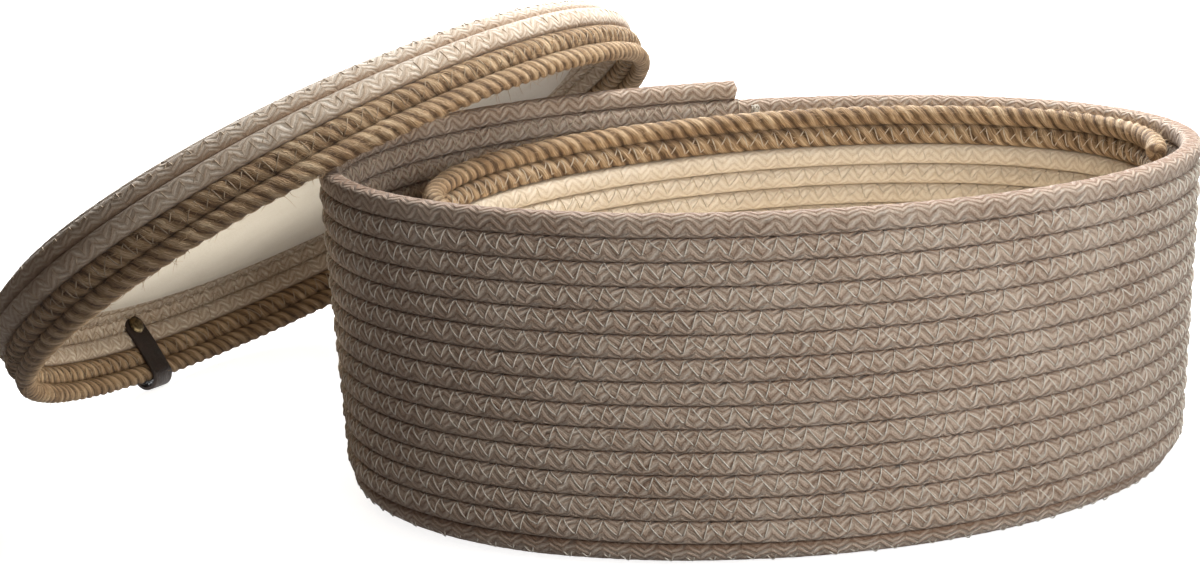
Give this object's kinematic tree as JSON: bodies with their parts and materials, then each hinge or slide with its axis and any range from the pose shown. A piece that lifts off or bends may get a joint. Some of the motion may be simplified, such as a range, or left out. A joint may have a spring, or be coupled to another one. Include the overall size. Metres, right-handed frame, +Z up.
{
  "type": "knitting basket",
  "caption": "Oval coiled-rope basket holding a smaller jute-rimmed basket, with a shallow rope lid leaning on its rim and a riveted leather strap.",
  "frame": {"origin": "the middle of the outer basket's underside, on the surface it stands on", "axes": "+Z up; +X along the outer basket's long side, to the right as the picture shows it; the lid leans on its end at -X and +Y"},
  "size_m": [0.3892, 0.3322, 0.1438],
  "materials": {
    "greige_cotton": "braided cotton cord, zigzag sewn",
    "cream_cotton": "braided cotton cord, zigzag sewn",
    "jute": "twisted jute rope with loose hairs",
    "felt": "smooth white felt",
    "leather": "dark brown, satin",
    "antique_brass": "antiqued, dull"
  },
  "bodies": {
    "outer_basket": {"outer_base": "greige_cotton", "outer_wall": "greige_cotton"},
    "inner_basket": {"inner_base": "cream_cotton", "inner_wall": "cream_cotton", "inner_rim": "jute"},
    "lid": {"lid_top": "cream_cotton", "lid_wall": "cream_cotton", "lid_rim": "jute", "lid_lining": "felt", "lid_strap": "leather", "rivet_cap": "antique_brass", "rivet_washer": "antique_brass"}
  },
  "joints": [
    {"name": "lid_lift", "type": "slide", "parent": "outer_basket", "child": "lid", "axis": [0, 0, 1], "range_m": [0, 0.22]},
    {"name": "inner_lift", "type": "slide", "parent": "outer_basket", "child": "inner_basket", "axis": [0, 0, 1], "range_m": [0, 0.11]}
  ],
  "couplings": [
    {"joint": "inner_lift", "follows": "lid_lift", "ratio": 0.5}
  ]
}
